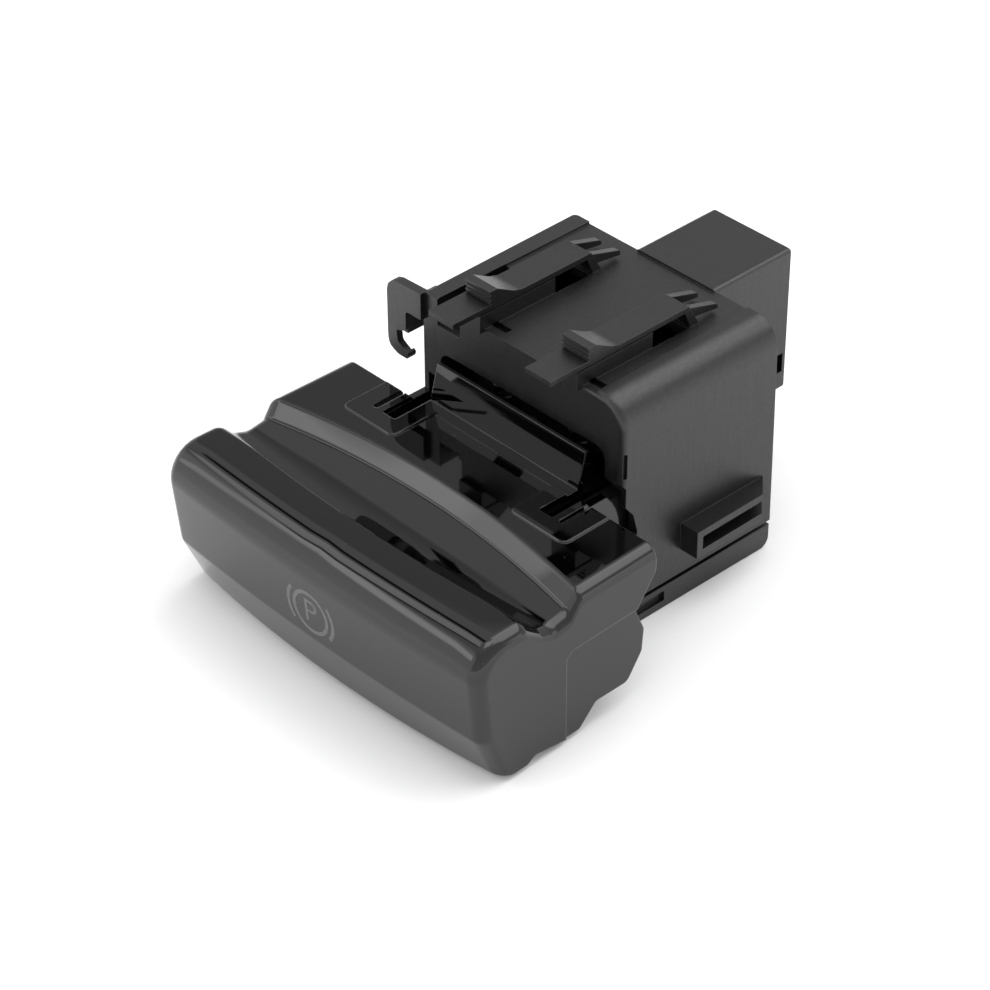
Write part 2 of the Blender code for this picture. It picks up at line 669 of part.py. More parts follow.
def narrow(bm):
    """Draws a form in towards the rear, as the paddle's sides are."""
    for vert in bm.verts:
        vert.co.x *= side_taper(vert.co.y)


def paddle_hollow():
    """The space under the paddle's skin, open at the bottom and the rear."""
    profile = rounded([
        (LIP_REAR - 2.6, HOLLOW_ROOF, 2.0), (GROOVE_REAR - 2.5, HOLLOW_ROOF, 0.5),
        (GROOVE_REAR + 1.3, PLATE_Z - PLATE_T, 0.5),
        (PLATE_REAR + 6, PLATE_Z - PLATE_T, 0), (PLATE_REAR + 6, -OVER, 0),
        (FACE_BOTTOM + 5.0, -OVER, 0), (HOLLOW_BREAK_Y, BREAK_Z, 2.0),
        (HOLLOW_TOP_Y, HOLLOW_ROOF - 3.4, 2.0),
    ])
    bm = prism("X", profile, -HALF + CHEEK_T, HALF - CHEEK_T)
    narrow(bm)
    return bm


def add_pad(paddle, side):
    """The raised pad at the plate's rear edge, with the two notches that free the ear between them."""
    low, high = sorted((side * (EAR_X - PAD_IN), side * (EAR_X + PAD_OUT)))
    rear = PLATE_REAR - 0.3
    pad = rounded([(low, PAD_FRONT, 1.2), (high, PAD_FRONT, 1.2), (high, rear, 0), (low, rear, 0)], 3)
    label = "right" if side > 0 else "left"
    join(paddle, f"pad_{label}", prism("Z", pad, PLATE_Z - SINK, PLATE_Z + PAD_LIFT, 0.15))


def add_ear(paddle, side):
    """A thin disc beside the mouth, concentric with the pivot, flush with the plate's top."""
    label = "right" if side > 0 else "left"
    low, high = side * EAR_X - EAR_T / 2, side * EAR_X + EAR_T / 2
    notches = (("inner", EAR_IN - INNER_NOTCH_W, EAR_IN + 0.1), ("outer", EAR_OUT - 0.1, EAR_OUT + OUTER_NOTCH_W))
    for notch, inner, outer in notches:
        edges = sorted((side * inner, side * outer))
        slot = rounded(rectangle(edges[0], edges[1], PIVOT_Y - 2.1, PLATE_REAR + OVER, 0.4), 2)
        cut(paddle, f"notch_{notch}_{label}", prism("Z", slot, PLATE_Z - PLATE_T - OVER, PLATE_Z + OVER))
    top = PLATE_Z - 0.45
    reach = math.degrees(math.asin((top - PIVOT_Z) / EAR_R))
    disc = arc((PIVOT_Y, PIVOT_Z), EAR_R, reach, reach - (180 + 2 * reach), 40)
    join(paddle, f"ear_{label}", prism("X", disc, low, high))
    bore = rod("X", (PIVOT_Y, PIVOT_Z), PIVOT_R + GAP, low - 0.5, high + 0.5)
    cut(paddle, f"bore_{label}", bore)


def add_flange(paddle):
    """The upright shield at the plate's rear edge, leaning back towards the housing."""
    profile = [
        (PLATE_REAR - 1.0, PLATE_Z - 1.2), (PLATE_REAR - 0.8, PLATE_Z + 0.06), (PLATE_REAR + 1.25, PLATE_Z + 0.06),
        (PLATE_REAR + FLANGE_LEAN - 0.85, PLATE_Z + FLANGE_H), (PLATE_REAR + FLANGE_LEAN, PLATE_Z + FLANGE_H - 0.2),
        (PLATE_REAR + 2.4, PLATE_Z - 0.4), (PLATE_REAR + 1.6, PLATE_Z - 1.2),
    ]
    join(paddle, "flange", prism("X", profile, -FLANGE_HALF, FLANGE_HALF))


def build_paddle(look):
    rings = [[(x * side_taper(y), y, z) for y, z in paddle_section(x)] for x in paddle_stations()]
    paddle = add("paddle_shell", ring_loft(rings), look)
    for label, side in (("left", -1), ("right", 1)):
        edges = sorted((side * (HALF - RELIEF_DEPTH), side * (HALF + OVER)))
        relief = prism("X", [
            (RELIEF_FRONT, -OVER), (PLATE_REAR + 5, -OVER), (PLATE_REAR + 5, RELIEF_TOP),
            (RELIEF_FRONT + 1.2, RELIEF_TOP), (RELIEF_FRONT, RELIEF_TOP - 1.0),
        ], *edges)
        narrow(relief)
        cut(paddle, f"relief_{label}", relief)
    cut(paddle, "hollow", paddle_hollow())
    for label, side in (("left", -1), ("right", 1)):
        front, roof = FACE_TOP + 3.2, HOLLOW_ROOF + 0.8
        rib = prism("X", [
            (front + 0.6, BREAK_Z + 2.8), (front, roof - 2.0), (LIP_REAR - 0.5, roof), (GROOVE_DEEPEST + 5.4, roof),
            (GROOVE_DEEPEST - 2.6, BREAK_Z + 2.8),
        ], side * RIB_X - RIB_T / 2, side * RIB_X + RIB_T / 2)
        join(paddle, f"rib_{label}", rib)
        add_pad(paddle, side)
        add_ear(paddle, side)
    add_flange(paddle)
    return paddle


def build_lever(look):
    """The lever behind the face: a windowed block, a neck between the pivot lugs and a flat tail."""
    roof = HOLLOW_ROOF - GAP
    half_tail = TAIL_T / 2
    side_view = rounded([
        (HOLLOW_TOP_Y + 0.35, HOLLOW_ROOF - 3.7, 1.0), (LIP_REAR - 2.3, roof, 1.5),
        (GROOVE_REAR - 2.0, roof, 2.0), (PIVOT_Y + 2.8, TAIL_Z + 2.2, 3.0),
        (PLUNGER_Y - 5, TAIL_Z + half_tail, 2.0), (TAIL_END, TAIL_Z + half_tail, 0.8),
        (TAIL_END, TAIL_Z - half_tail, 0.8), (PLUNGER_Y - 5, TAIL_Z - half_tail, 2.0),
        (PIVOT_Y + 2.8, TAIL_Z - 2.2, 3.0), (GROOVE_REAR - 2.0, BREAK_Z + 2.8, 2.0),
        (HOLLOW_BREAK_Y + 0.2, BREAK_Z + 1.2, 1.0),
    ])
    lever = add("rocker_lever", prism("X", side_view, -LEVER_W / 2, LEVER_W / 2), look)
    wide, tall = GUIDE_W / 2 + GAP, GUIDE_H / 2 + GAP
    window = block((-wide, FACE_TOP, GUIDE_Z - tall), (wide, LAMP_REAR + GAP, GUIDE_Z + tall))
    cut(lever, "guide_window", window)
    for label, side in (("right", 1), ("left", -1)):
        edges = sorted((side * TAIL_W / 2, side * (LEVER_W / 2 + OVER)))
        waist = prism("X", [(CARRIER_Y - 1.2, -OVER), (OVER, -OVER), (OVER, 40), (CARRIER_Y - 1.2, 40)], *edges)
        cut(lever, f"tail_side_{label}", waist)
    return lever


def build_light_guide(look):
    """A clear block that carries light to the symbol in the face, tapering towards its inlet."""
    rings = []
    for y, share in ((HOLLOW_TOP_Y + 1.3, 1.0), (GROOVE_DEEPEST - 2.6, 1.0), (LAMP_REAR - LAMP_L - GAP, 0.5)):
        wide, tall = share * GUIDE_W / 2, share * GUIDE_H / 2
        low, high = GUIDE_Z - tall, GUIDE_Z + tall
        rings.append([(-wide, y, low), (wide, y, low), (wide, y, high), (-wide, y, high)])
    return add("symbol_light_guide", ring_loft(rings), look)


# Carrier, pins and springs

def build_carrier(look):
    """The inner frame: a wall across the mouth, spring shelves and two pivot lugs."""
    wide = SIDE - WALL - GAP
    wall_low, wall_high = BASE_H + RIM_H + GAP, HOUSING_H - WALL - GAP
    wall = rounded(rectangle(-wide, wide, wall_low, wall_high, TOP_RIGHT_R - WALL), 4)
    carrier = add("pivot_carrier", prism("Y", wall, CARRIER_Y, CARRIER_Y + CARRIER_T), look)
    window_half = LEVER_W / 2 + WINDOW_MARGIN
    window = block(
        (-window_half, CARRIER_Y - OVER, TAIL_Z - WINDOW_HALF_H),
        (window_half, CARRIER_Y + CARRIER_T + OVER, TAIL_Z + WINDOW_HALF_H),
    )
    cut(carrier, "lever_window", window)
    shelf_front = FRONT + WALL + GAP
    for label, z in (("lower", LOWER_SHELF - SHELF_T), ("upper", UPPER_SHELF)):
        shelf_half = LEVER_W / 2 + SHELF_MARGIN
        shelf = block((-shelf_half, shelf_front, z), (shelf_half, CARRIER_Y + SINK, z + SHELF_T))
        join(carrier, f"{label}_shelf", shelf)
    for label, side in (("right", 1), ("left", -1)):
        outer = EAR_IN - GAP
        edges = sorted((side * (outer - LUG_T), side * outer))
        root = CARRIER_Y + SINK
        lug = arc((PIVOT_Y, PIVOT_Z), LUG_R, 90, 270, 14) + [(root, PIVOT_Z - LUG_R - 2), (root, PIVOT_Z + LUG_R)]
        join(carrier, f"lug_{label}", prism("X", lug, *edges))
        cut(carrier, f"lug_bore_{label}", rod("X", (PIVOT_Y, PIVOT_Z), PIVOT_R + GAP, edges[0] - 1, edges[1] + 1))
    return carrier


def build_pivot_pin(side, look):
    """A headed steel pin through the ear and the lug."""
    name = "pivot_pin_right" if side > 0 else "pivot_pin_left"
    head_face = EAR_OUT + GAP
    edges = sorted((side * (head_face - EAR_T - LUG_T - 3 * GAP - 0.6), side * (head_face + 0.2)))
    pin = add(name, rod("X", (PIVOT_Y, PIVOT_Z), PIVOT_R, *edges), look)
    head = sorted((side * head_face, side * (head_face + 1.1)))
    join(pin, "head", rod("X", (PIVOT_Y, PIVOT_Z), PIVOT_R + 0.9, *head))
    return pin


def build_spring(name, x, low, high, look):
    """A compression spring standing between a shelf and the lever, as a swept round wire."""
    curve = bpy.data.curves.new(name, "CURVE")
    curve.dimensions = "3D"
    curve.bevel_depth = WIRE_R * MM
    curve.bevel_resolution = 1
    curve.use_fill_caps = True
    line = curve.splines.new("POLY")
    per_turn = 12
    count = SPRING_TURNS * per_turn + 1
    line.points.add(count - 1)
    for i in range(count):
        angle = 2 * math.pi * i / per_turn
        z = low + WIRE_R + (high - low - 2 * WIRE_R) * i / (count - 1)
        point = (x + SPRING_R * math.cos(angle), SPRING_Y + SPRING_R * math.sin(angle), z)
        line.points[i].co = (point[0] * MM, point[1] * MM, point[2] * MM, 1.0)
    made = bpy.data.objects.new(name, curve)
    bpy.context.scene.collection.objects.link(made)
    curve.materials.append(look)
    return made


# Board, switches and terminals

def header_half_size():
    return PIN_COLUMN_GAP / 2 + 1.9, (PIN_ROWS - 1) * PIN_PITCH / 2 + 2.0


def pin_places():
    """Where each terminal stands: its place across, its height and where it bends to the board."""
    places = []
    middle = SHROUD_TOP - SHROUD_H / 2
    for column in (0, 1):
        for row in range(PIN_ROWS):
            x = SHROUD_X + (column - 0.5) * PIN_COLUMN_GAP
            z = middle + (row - (PIN_ROWS - 1) / 2) * PIN_PITCH
            places.append((x, z, REAR - PIN_BEND - 2 * PIN_W * column))
    return places


def build_board(look):
    low, high = BOARD_X - BOARD_T / 2, BOARD_X + BOARD_T / 2
    board_front, board_rear = FRONT + BOARD_BACK, REAR - WALL - 0.4
    outline = rounded(rectangle(board_front, board_rear, BOARD_LOW, HOUSING_H - BOARD_DROP, 0.8), 3)
    return add("circuit_board", prism("X", outline, low, high), look)


def build_header(look):
    """The terminal block: it fills the port in the rear wall and reaches across to the board."""
    half_x, half_z = header_half_size()
    middle = SHROUD_TOP - SHROUD_H / 2
    front = REAR - WALL - HEADER_DEPTH
    header = add("terminal_block", block(
        (SHROUD_X - half_x, front, middle - half_z), (SHROUD_X + half_x, REAR + 0.5, middle + half_z)
    ), look)
    foot = block(
        (BOARD_X + BOARD_T / 2 + GAP, front + 0.1, middle - half_z + 1), (SHROUD_X, front + 2.2, middle + half_z - 1)
    )
    join(header, "foot", foot)
    for i, (x, z, _) in enumerate(pin_places()):
        half = PIN_W / 2 + GAP
        hole = block((x - half, front - OVER, z - half), (x + half, REAR + OVER + 0.5, z + half))
        cut(header, f"hole_{i + 1}", hole)
    return header


def build_terminals(look):
    """Square terminals, each bent once from the shroud's axis to the board's face."""
    made = []
    for i, (x, z, bend) in enumerate(pin_places()):
        half = PIN_W / 2
        start = BOARD_X + BOARD_T / 2 + GAP
        tip = REAR + PIN_REACH
        plan = [
            (start, bend - half), (x + half, bend - half), (x + half, tip - 0.8), (x + half / 2, tip),
            (x - half / 2, tip), (x - half, tip - 0.8), (x - half, bend + half), (start, bend + half),
        ]
        made.append(add(f"terminal_{i + 1:02d}", prism("Z", plan, z - half, z + half), look))
    return made


def switch_spans():
    """The heights of the upper and lower switch bodies, which face the lever's tail."""
    upper = TAIL_Z + TAIL_T / 2 + GAP + PLUNGER_STANDOFF
    lower = TAIL_Z - TAIL_T / 2 - GAP - PLUNGER_STANDOFF
    return {"upper": (upper, upper + SWITCH_H), "lower": (lower - SWITCH_H, lower)}


def build_switch(label, look, plunger_look):
    """A microswitch on the board's face, with a round plunger that follows the lever."""
    low, high = switch_spans()[label]
    start = BOARD_X + BOARD_T / 2 + GAP
    x = start + SWITCH_W / 2
    plan = rounded(rectangle(start, start + SWITCH_W, PLUNGER_Y - SWITCH_L / 2, PLUNGER_Y + SWITCH_L / 2, 0.4), 2)
    body = add(f"{label}_switch", prism("Z", plan, low, high), look)
    up = label == "upper"
    well = (low - OVER, high - 0.8) if up else (low + 0.8, high + OVER)
    cut(body, "well", rod("Z", (x, PLUNGER_Y), PLUNGER_R + GAP, *well, 20))
    tip = TAIL_Z + TAIL_T / 2 + GAP if up else TAIL_Z - TAIL_T / 2 - GAP
    span = (tip, tip + PLUNGER_L) if up else (tip - PLUNGER_L, tip)
    plunger = add(f"{label}_plunger", rod("Z", (x, PLUNGER_Y), PLUNGER_R, *span, 20), plunger_look)
    return body, plunger


def build_small_parts(chip_look, led_look):
    """The control chip and the indicator lamp on the board's face."""
    start = BOARD_X + BOARD_T / 2 + GAP
    chip_y, chip_z = PLUNGER_Y + SWITCH_L / 2 + 0.4, BOARD_LOW + 1.2
    corner = (start + CHIP_T, chip_y + CHIP_L, chip_z + CHIP_H)
    chip = add("control_chip", block((start, chip_y, chip_z), corner), chip_look)
    lamp_plan = rounded(rectangle(LAMP_REAR - LAMP_L, LAMP_REAR, GUIDE_Z - 1.2, GUIDE_Z + 1.2, 0.4), 3)
    lamp = add("indicator_lamp", prism("X", lamp_plan, -LAMP_W / 2, LAMP_W / 2), led_look)
    return chip, lamp


def on_axis(name, place_mm, pieces):
    """Parents pieces to an empty on their joint's axis, and leaves them where they are."""
    axis = bpy.data.objects.new(name, None)
    axis.location = [value * MM for value in place_mm]
    bpy.context.scene.collection.objects.link(axis)
    bpy.context.view_layer.update()
    for piece in pieces:
        piece.parent = axis
        piece.matrix_parent_inverse = axis.matrix_world.inverted()


def main():
    clear_scene()
    gloss = finish("gloss_black", (0.010, 0.010, 0.011), 0.06)
    matt = finish("matt_black", (0.022, 0.022, 0.024), 0.42)
    inner = finish("inner_black", (0.018, 0.018, 0.020), 0.55)
    clear = finish("clear_guide", (0.85, 0.88, 0.90), 0.10)
    steel = finish("steel", (0.60, 0.60, 0.62), 0.28, 1.0)
    dark_wire = finish("black_wire", (0.045, 0.045, 0.05), 0.35, 1.0)
    tin = finish("tinned_brass", (0.78, 0.74, 0.62), 0.25, 1.0)
    green = finish("board_green", (0.02, 0.16, 0.07), 0.40)
    ivory = finish("switch_ivory", (0.62, 0.58, 0.48), 0.45)
    lamp = finish("lamp_white", (0.90, 0.88, 0.80), 0.20)

    build_housing(matt)
    build_base(matt)
    build_carrier(inner)
    paddle = build_paddle(gloss)
    lever = build_lever(inner)
    guide = build_light_guide(clear)
    on_axis("paddle_axis", (0, PIVOT_Y, PIVOT_Z), [paddle, lever, guide])
    for side in (-1, 1):
        build_pivot_pin(side, steel)
    lower_seat = LOWER_SHELF + GAP
    lever_low, lever_high = TAIL_Z - TAIL_T + 0.1, TAIL_Z + TAIL_T - 0.1
    for label, x in (("left", -SPRING_X), ("right", SPRING_X)):
        build_spring(f"lower_spring_{label}", x, lower_seat, lever_low, dark_wire)
        build_spring(f"upper_spring_{label}", x, lever_high, UPPER_SHELF - GAP, dark_wire)
    build_board(green)
    build_header(inner)
    build_terminals(tin)
    for label in ("upper", "lower"):
        _, plunger = build_switch(label, inner, ivory)
        start = BOARD_X + BOARD_T / 2 + GAP + SWITCH_W / 2
        on_axis(f"{label}_plunger_axis", (start, PLUNGER_Y, TAIL_Z), [plunger])
    build_small_parts(inner, lamp)


main()
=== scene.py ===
# Looks of the electric parking brake switch: gloss and matt plastics, metal, board, symbol
# and studio. Lengths are in metres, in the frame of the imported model.
import json
import math

import bmesh
import bpy
from mathutils import Matrix, Vector
from mathutils.bvhtree import BVHTree


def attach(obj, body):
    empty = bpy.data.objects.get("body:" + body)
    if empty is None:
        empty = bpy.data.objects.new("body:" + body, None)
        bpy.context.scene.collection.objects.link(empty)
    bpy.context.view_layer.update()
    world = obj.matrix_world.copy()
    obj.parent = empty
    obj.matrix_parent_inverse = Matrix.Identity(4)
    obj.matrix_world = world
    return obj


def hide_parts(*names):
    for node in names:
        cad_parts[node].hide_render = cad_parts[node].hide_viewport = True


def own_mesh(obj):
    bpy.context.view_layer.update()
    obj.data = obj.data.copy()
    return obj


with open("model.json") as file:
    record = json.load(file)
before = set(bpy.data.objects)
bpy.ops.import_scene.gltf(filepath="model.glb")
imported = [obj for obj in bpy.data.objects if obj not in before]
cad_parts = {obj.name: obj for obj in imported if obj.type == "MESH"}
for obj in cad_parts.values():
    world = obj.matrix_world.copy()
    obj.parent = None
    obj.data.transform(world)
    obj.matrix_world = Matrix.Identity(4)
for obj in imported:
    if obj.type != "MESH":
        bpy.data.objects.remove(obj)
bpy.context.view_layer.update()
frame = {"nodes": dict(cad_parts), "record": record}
MM = 0.001

# Camera at the photo's angle
CAMERA_PLACE = Vector((0.27832, -0.28222, 0.29959))
CAMERA_AIM = Vector((0.0, -0.021, 0.0171))
CAMERA_ROLL = math.radians(-0.29)
CAMERA_LENS = 117.24
CAMERA_SENSOR = 36.0
CAMERA_CLIP = 0.01

# Lamp that draws the soft shadow on the floor
LAMP_PLACE = Vector((0.10, -0.10, 1.30))
LAMP_AIM = Vector((0.0, 0.0, 0.02))
LAMP_SIDE = 0.60
LAMP_RADIANCE = 2.0

# Floor. The lift is extra white that only camera, mirror and glass rays see, near and far. It is
# low near the switch, a painted shade around it.
FLOOR_HALF = 4.0
FLOOR_SHADE = 0.86
FLOOR_LIFT_WITH_PAINTED_SHADE = (0.05, 0.42)
PAINTED_SHADE_RADIUS = (0.06, 0.17)

# Brightness of the studio's walls and ceiling, by height above the horizon in degrees
SKY_BANDS = ((0, 1.03), (20, 0.94), (45, 0.88), (90, 1.15))

# Panels in the studio, each laid over those before it. In degrees: azimuth and height of the
# middle, half width, half height, turn and soft edge. The last number is the brightness.
# Azimuth 0 is the rear and 90 the right.
PANELS = (
    (-140, 9, 40, 36, 0, 7, 1.58),  # Wall at the front left
    (-48, 27, 15, 15, 0, 5, 0.48),  # Dim corner at the rear left
    (-107, 52, 7, 8, 0, 2, 2.2),  # Upper end of the strip light
    (-83, 57, 3.0, 10, 0, 1.2, 0.05),  # Dark post on one side of it
    (-121, 49, 1.1, 7, 0, 0.8, 0.10),  # Dark post on its other side
    (-139.5, 34.5, 15, 3.6, 33, 2.5, 3.4),  # Strip light at the front left
    (-126, 30, 3, 8, 0, 3, 2.8),  # Upright light beside the strip light
    (15, 58, 26, 20, 0, 8, 2.9),  # Big panel above the rear right
    (50, 10, 6, 9, 0, 3, 1.9),  # Low panel at the rear right
)
PANEL_REACH = (0.1, 0.2)  # Keeps a panel on its own side of the studio

# Smooth copies of the CAD pieces
WELD = 0.002 * MM
FLAT = math.radians(0.3)  # Facets that turn less than this are one flat
LIP_BACK = -44 * MM
LIP_HALF_W = 31 * MM
PADDLE_CREASE = 26  # Edges that turn more degrees than this stay crisp
HOUSING_CREASE = 20
SPRING_CREASE = 40
NORMAL_WEIGHT = 90

# Symbol on the face
SYMBOL_X = -0.5 * MM
SYMBOL_Z = 14.25 * MM
RING_R = 3.5 * MM
RING_STEPS = 64
LINE_W = 0.66 * MM
BRACKET_R = 4.8 * MM
BRACKET_HALF_ANGLE = 38.0
BRACKET_STEPS = 20
LETTER_H = 4.2 * MM
LETTER_SHARE = 0.7  # Height of a capital letter in the font, for a size of 1
PRINT_START = -100 * MM  # Ahead of the whole paddle
PRINT_LIFT = 0.012 * MM

# Materials of all kinds
MOULDED_IOR = 1.57
GUIDE_IOR = 1.49
BEVEL_SAMPLES = 6


# Node helpers

def object_point(tree, stretch=(1, 1, 1)):
    """Object coordinates, stretched to draw a pattern out along an axis."""
    place = tree.nodes.new("ShaderNodeTexCoord")
    mapping = tree.nodes.new("ShaderNodeMapping")
    mapping.inputs["Scale"].default_value = stretch
    tree.links.new(place.outputs["Object"], mapping.inputs["Vector"])
    return mapping.outputs["Vector"]


def noise(tree, point, size, detail=3.0, rough=0.55):
    """Noise whose features are about this many metres across."""
    made = tree.nodes.new("ShaderNodeTexNoise")
    made.inputs["Scale"].default_value = 1 / size
    made.inputs["Detail"].default_value = detail
    made.inputs["Roughness"].default_value = rough
    tree.links.new(point, made.inputs["Vector"])
    return made.outputs["Fac"]


def span(tree, value, low, high, start=0.3, end=0.7):
    """Maps a value from start..end to low..high."""
    made = tree.nodes.new("ShaderNodeMapRange")
    made.inputs["From Min"].default_value = start
    made.inputs["From Max"].default_value = end
    made.inputs["To Min"].default_value = low
    made.inputs["To Max"].default_value = high
    tree.links.new(value, made.inputs["Value"])
    return made.outputs["Result"]


def tint(tree, value, dark, light, start=0.3, end=0.7):
    """A colour between two others, by a value."""
    made = tree.nodes.new("ShaderNodeValToRGB")
    first, last = made.color_ramp.elements
    first.position, last.position = start, end
    first.color, last.color = (*dark, 1), (*light, 1)
    tree.links.new(value, made.inputs["Fac"])
    return made.outputs["Color"]


def combine(tree, operation, first, second=None):
    """The result of a sum on one or two values."""
    made = tree.nodes.new("ShaderNodeMath")
    made.operation = operation
    tree.links.new(first, made.inputs[0])
    if second is not None:
        tree.links.new(second, made.inputs[1])
    return made.outputs["Value"]


def along(tree, way, axis):
    """How far a direction goes along an axis."""
    made = tree.nodes.new("ShaderNodeVectorMath")
    made.operation = "DOT_PRODUCT"
    made.inputs[1].default_value = axis
    tree.links.new(way, made.inputs[0])
    return made.outputs["Value"]


def soft_edges(tree, radius):
    """Normals as if every edge were rounded to this radius."""
    made = tree.nodes.new("ShaderNodeBevel")
    made.samples = BEVEL_SAMPLES
    made.inputs["Radius"].default_value = radius
    return made.outputs["Normal"]


def bump(tree, shader, height, depth, strength=1.0, under=None):
    """Raises a pattern on a shader's surface, on top of other normals if there are any."""
    made = tree.nodes.new("ShaderNodeBump")
    made.inputs["Strength"].default_value = strength
    made.inputs["Distance"].default_value = depth
    tree.links.new(height, made.inputs["Height"])
    if under is not None:
        tree.links.new(under, made.inputs["Normal"])
    tree.links.new(made.outputs["Normal"], shader.inputs["Normal"])


# Materials

def make_material(name, values):
    """A new material with these constants on its shader."""
    made = bpy.data.materials.new(name)
    made.use_nodes = True
    tree = made.node_tree
    shader = tree.nodes["Principled BSDF"]
    for label, value in values.items():
        shader.inputs[label].default_value = value
    return made, tree, shader


def darker(shade, share):
    return tuple(share * value for value in shade)


def gloss_black():
    """Piano-black plastic: hardly any colour of its own, clear reflections, specks of dust."""
    made, tree, shader = make_material("gloss_black", {"Coat Weight": 0.12, "Coat Roughness": 0.02})
    point = object_point(tree)
    specks = noise(tree, point, size=0.55 * MM, detail=1.0)
    black, dust = (0.0005, 0.0005, 0.0006), (0.05, 0.05, 0.05)
    shade = tint(tree, specks, black, dust, start=0.80, end=0.84)
    tree.links.new(shade, shader.inputs["Base Color"])
    soft = noise(tree, point, size=14 * MM, detail=2.0)
    tree.links.new(span(tree, soft, low=0.02, high=0.06), shader.inputs["Roughness"])
    wave = noise(tree, point, size=6 * MM, detail=1.0)
    bump(tree, shader, wave, depth=0.003 * MM, under=soft_edges(tree, 0.28 * MM))
    return made


def moulded_black(name, shade, roughness, grain):
    """Plain moulded plastic with a fine grain and faint drag marks from the mould."""
    made, tree, shader = make_material(name, {"IOR": MOULDED_IOR})
    point = object_point(tree)
    cloud = noise(tree, point, size=9 * MM)
    tree.links.new(tint(tree, cloud, darker(shade, 0.8), shade), shader.inputs["Base Color"])
    mottle = noise(tree, point, size=0.6 * MM, detail=4.0, rough=0.7)
    shine = span(tree, mottle, low=0.45, high=0.55)
    tree.links.new(shine, shader.inputs["Specular IOR Level"])
    drag = noise(tree, object_point(tree, (1, 1, 0.06)), size=0.5 * MM)
    dull = span(tree, drag, low=roughness - 0.04, high=roughness + 0.06)
    tree.links.new(dull, shader.inputs["Roughness"])
    height = noise(tree, point, size=grain)
    bump(tree, shader, height, depth=0.010 * MM, strength=0.6, under=soft_edges(tree, 0.12 * MM))
    return made


def metal(name, shade, roughness, drawn):
    """Metal with fine lines along the way that it was drawn."""
    made, tree, shader = make_material(name, {"Metallic": 1.0})
    lines = noise(tree, object_point(tree, drawn), size=0.15 * MM)
    tree.links.new(tint(tree, lines, darker(shade, 0.8), shade), shader.inputs["Base Color"])
    dull = span(tree, lines, low=roughness - 0.06, high=roughness + 0.08)
    tree.links.new(dull, shader.inputs["Roughness"])
    return made


def light_plastic(name, shade, roughness):
    """Pale plastic, slightly cloudy and uneven."""
    made, tree, shader = make_material(name, {"Roughness": roughness})
    cloud = noise(tree, object_point(tree), size=1.5 * MM)
    tree.links.new(tint(tree, cloud, darker(shade, 0.85), shade), shader.inputs["Base Color"])
    bump(tree, shader, cloud, depth=0.01 * MM)
    return made


def clear_guide():
    """Clear plastic of the symbol's light guide."""
    values = {"Roughness": 0.08, "Transmission Weight": 0.85, "IOR": GUIDE_IOR}
    made, tree, shader = make_material("clear_guide", values)
    cloud = noise(tree, object_point(tree), size=3 * MM)
    shade = tint(tree, cloud, (0.80, 0.84, 0.86), (0.92, 0.94, 0.95))
    tree.links.new(shade, shader.inputs["Base Color"])
    return made


def board_green():
    """Solder resist with copper tracks showing through."""
    made, tree, shader = make_material("board_green", {"Roughness": 0.35})
    tracks = tree.nodes.new("ShaderNodeTexVoronoi")
    tracks.distance = "MANHATTAN"
    tracks.inputs["Scale"].default_value = 1 / (2.4 * MM)
    tree.links.new(object_point(tree), tracks.inputs["Vector"])
    height = tracks.outputs["Distance"]
    over_copper, plain = (0.03, 0.20, 0.09), (0.01, 0.10, 0.045)
    shade = tint(tree, height, over_copper, plain, start=0.35, end=0.45)
    tree.links.new(shade, shader.inputs["Base Color"])
    bump(tree, shader, height, depth=0.03 * MM, strength=0.4)
    return made


def print_grey():
    """The symbol's grey, seen faintly through the gloss."""
    made, tree, shader = make_material("print_grey", {"Roughness": 0.30})
    cloud = noise(tree, object_point(tree), size=0.8 * MM)
    shade = tint(tree, cloud, (0.075, 0.075, 0.077), (0.105, 0.105, 0.108))
    tree.links.new(shade, shader.inputs["Base Color"])
    return made


def floor_white():
    """Plain white that keeps the switch's shadow and looks whiter than the light makes it, with
    painted shade near the switch where its extra white is low.
    """
    made = bpy.data.materials.new("floor_white")
    made.use_nodes = True
    tree = made.node_tree
    tree.nodes.clear()
    matt = tree.nodes.new("ShaderNodeBsdfDiffuse")
    matt.inputs["Color"].default_value = (FLOOR_SHADE, FLOOR_SHADE, FLOOR_SHADE, 1)
    rays = tree.nodes.new("ShaderNodeLightPath").outputs
    seen = combine(tree, "MAXIMUM", rays["Is Camera Ray"], rays["Is Glossy Ray"])
    seen = combine(tree, "MAXIMUM", seen, rays["Is Transmission Ray"])
    away = tree.nodes.new("ShaderNodeVectorMath")
    away.operation = "LENGTH"
    tree.links.new(object_point(tree), away.inputs[0])
    # Extra white that grows away from the switch: painted shade near the switch, which the camera
    # and mirrors see
    lift_with_painted_shade = span(tree, away.outputs["Value"], *FLOOR_LIFT_WITH_PAINTED_SHADE, *PAINTED_SHADE_RADIUS)
    glow = tree.nodes.new("ShaderNodeEmission")
    tree.links.new(combine(tree, "MULTIPLY", seen, lift_with_painted_shade), glow.inputs["Strength"])
    both = tree.nodes.new("ShaderNodeAddShader")
    tree.links.new(matt.outputs["BSDF"], both.inputs[0])
    tree.links.new(glow.outputs["Emission"], both.inputs[1])
    out = tree.nodes.new("ShaderNodeOutputMaterial")
    tree.links.new(both.outputs["Shader"], out.inputs["Surface"])
    return made


